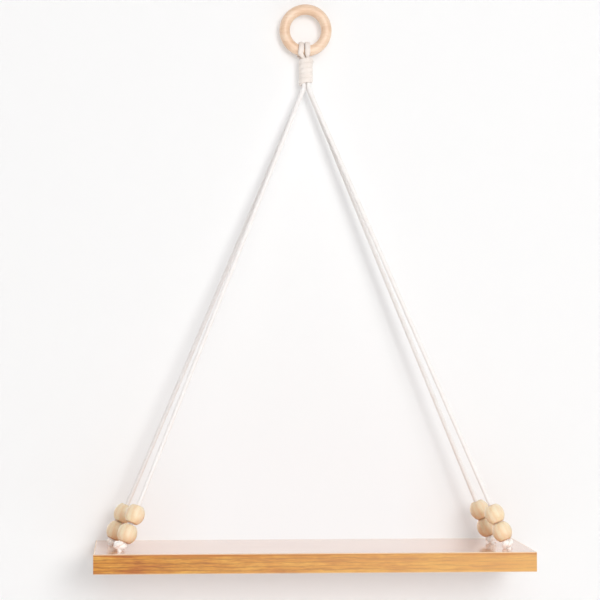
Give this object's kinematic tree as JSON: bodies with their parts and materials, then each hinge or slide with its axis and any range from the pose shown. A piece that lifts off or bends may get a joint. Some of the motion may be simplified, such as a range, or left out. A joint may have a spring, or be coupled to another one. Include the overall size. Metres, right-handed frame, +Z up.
{
  "type": "hanging rope shelf",
  "caption": "Small wall shelf whose board hangs by cords from a wooden ring, with wooden beads threaded on the cords above the board.",
  "frame": {"origin": "the point inside the top of the ring where the wall hook bears", "axes": "+Z up, -Y out of the wall towards the viewer, +X to the viewer's right"},
  "size_m": [0.4, 0.12, 0.53],
  "materials": {
    "ring_wood": "satin lacquer",
    "bead_wood": "satin",
    "cotton_cord": "braided cotton",
    "board_laminate": "gloss",
    "edge_band": "satin"
  },
  "bodies": {
    "ring": {"ring": "ring_wood"},
    "head": {"cord_loop_left": "cotton_cord", "cord_loop_right": "cotton_cord", "gathering_wrap": "cotton_cord"},
    "hanger": {"board": "board_laminate", "front_edge_band": "edge_band", "back_edge_band": "edge_band", "left_edge_band": "edge_band", "right_edge_band": "edge_band", "cord_leg_left_front": "cotton_cord", "stop_knot_left_front": "cotton_cord", "carrying_knot_left_front": "cotton_cord", "cord_leg_left_back": "cotton_cord", "stop_knot_left_back": "cotton_cord", "carrying_knot_left_back": "cotton_cord", "cord_leg_right_front": "cotton_cord", "stop_knot_right_front": "cotton_cord", "carrying_knot_right_front": "cotton_cord", "cord_leg_right_back": "cotton_cord", "stop_knot_right_back": "cotton_cord", "carrying_knot_right_back": "cotton_cord"},
    "bead_left_front_lower": {"bead_left_front_lower": "bead_wood"},
    "bead_left_front_upper": {"bead_left_front_upper": "bead_wood"},
    "bead_left_back_lower": {"bead_left_back_lower": "bead_wood"},
    "bead_left_back_upper": {"bead_left_back_upper": "bead_wood"},
    "bead_right_front_lower": {"bead_right_front_lower": "bead_wood"},
    "bead_right_front_upper": {"bead_right_front_upper": "bead_wood"},
    "bead_right_back_lower": {"bead_right_back_lower": "bead_wood"},
    "bead_right_back_upper": {"bead_right_back_upper": "bead_wood"}
  },
  "joints": [
    {"name": "front_swing", "type": "hinge", "parent": "ring", "child": "head", "pos_m": [0, 0, -0.035], "axis": [-1, 0, 0], "range_deg": [0, 45]},
    {"name": "side_swing", "type": "hinge", "parent": "head", "child": "hanger", "pos_m": [0, -0.0042, -0.06881], "axis": [0, 1, 0], "range_deg": [-10, 10]},
    {"name": "bead_left_front_lower_slide", "type": "slide", "parent": "hanger", "child": "bead_left_front_lower", "axis": [0.3689, 0.1642, 0.9149], "range_m": [0, 0.15]},
    {"name": "bead_left_front_upper_slide", "type": "slide", "parent": "bead_left_front_lower", "child": "bead_left_front_upper", "axis": [0.3689, 0.1642, 0.9149], "range_m": [-0.0013, 0.15]},
    {"name": "bead_left_back_lower_slide", "type": "slide", "parent": "hanger", "child": "bead_left_back_lower", "axis": [0.3918, 0.0632, 0.9179], "range_m": [0, 0.15]},
    {"name": "bead_left_back_upper_slide", "type": "slide", "parent": "bead_left_back_lower", "child": "bead_left_back_upper", "axis": [0.3918, 0.0632, 0.9179], "range_m": [0, 0.15]},
    {"name": "bead_right_front_lower_slide", "type": "slide", "parent": "hanger", "child": "bead_right_front_lower", "axis": [-0.3762, 0.1637, 0.912], "range_m": [0, 0.15]},
    {"name": "bead_right_front_upper_slide", "type": "slide", "parent": "bead_right_front_lower", "child": "bead_right_front_upper", "axis": [-0.3762, 0.1637, 0.912], "range_m": [0, 0.15]},
    {"name": "bead_right_back_lower_slide", "type": "slide", "parent": "hanger", "child": "bead_right_back_lower", "axis": [-0.3699, 0.0638, 0.9269], "range_m": [0, 0.15]},
    {"name": "bead_right_back_upper_slide", "type": "slide", "parent": "bead_right_back_lower", "child": "bead_right_back_upper", "axis": [-0.3699, 0.0638, 0.9269], "range_m": [0, 0.15]}
  ]
}
